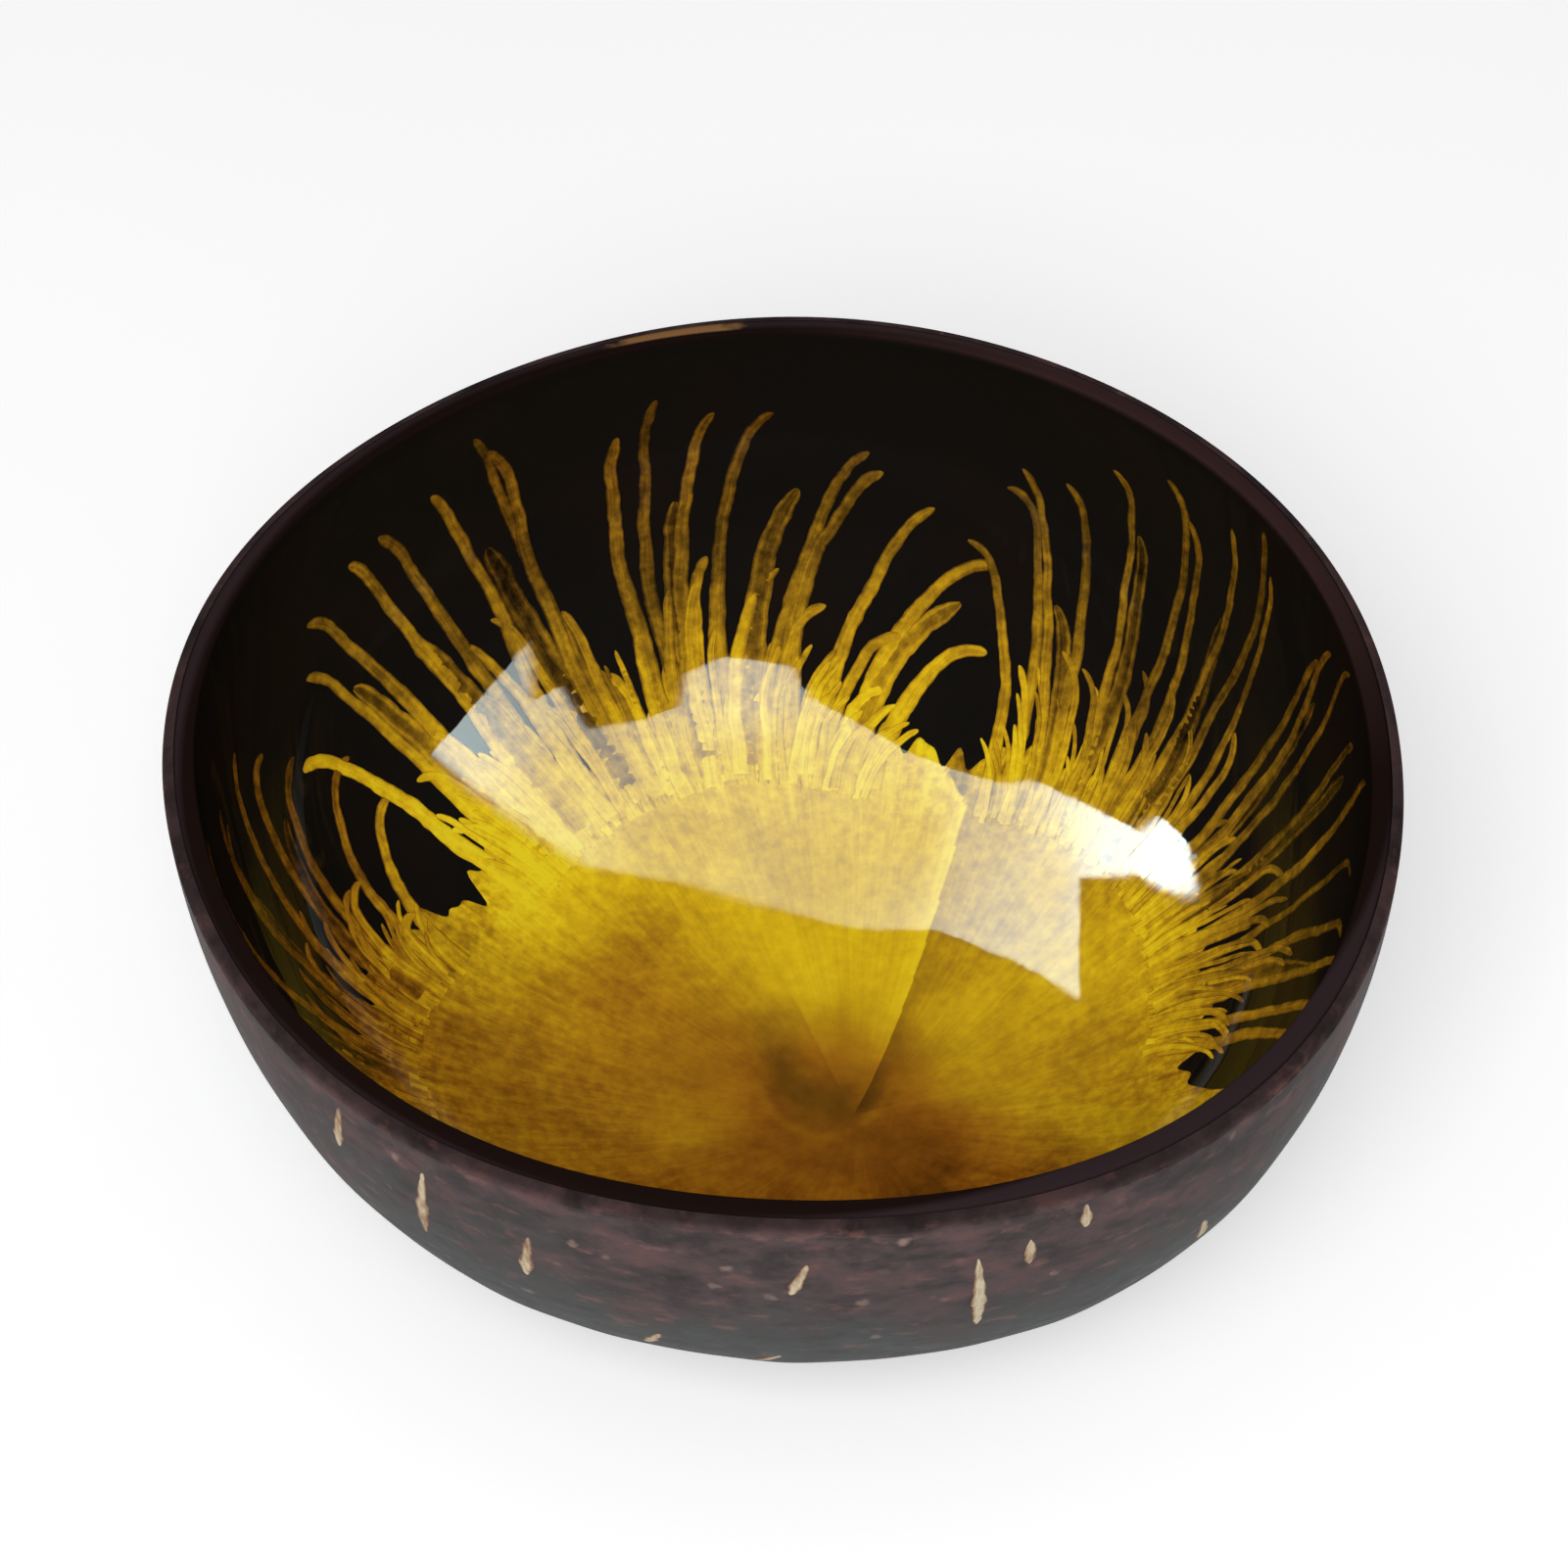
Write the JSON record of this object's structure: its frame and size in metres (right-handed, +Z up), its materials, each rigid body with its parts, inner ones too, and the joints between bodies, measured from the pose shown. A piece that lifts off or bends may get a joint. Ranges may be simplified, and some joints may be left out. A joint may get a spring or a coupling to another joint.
{
  "type": "coconut shell bowl",
  "caption": "Round bowl sawn from a coconut shell, polished outside, with a glossy black lacquer lining and gold feather strokes under a clear coat.",
  "frame": {"origin": "centre of the resting face ground on the bowl's round bottom", "axes": "+Z up along the bowl's axis through its mouth, +X to the right and +Y to the back as the picture sees it"},
  "size_m": [0.135, 0.135, 0.0573],
  "materials": {
    "coconut_shell": "sanded and polished coconut shell, dark brown with reddish flecks, satin",
    "coconut_fibre": "tan fibres left flush in the polished skin, matt",
    "black_lacquer": "brushed black lacquer",
    "gold_lacquer": "brushed yellow gold lacquer, thin and brown towards the tips",
    "clear_lacquer": "clear high gloss lacquer"
  },
  "bodies": {
    "root": {"shell": "coconut_shell", "fibre_streaks": "coconut_fibre", "ground_coat": "black_lacquer", "gold_feathers": "gold_lacquer", "clear_topcoat": "clear_lacquer"}
  },
  "joints": []
}
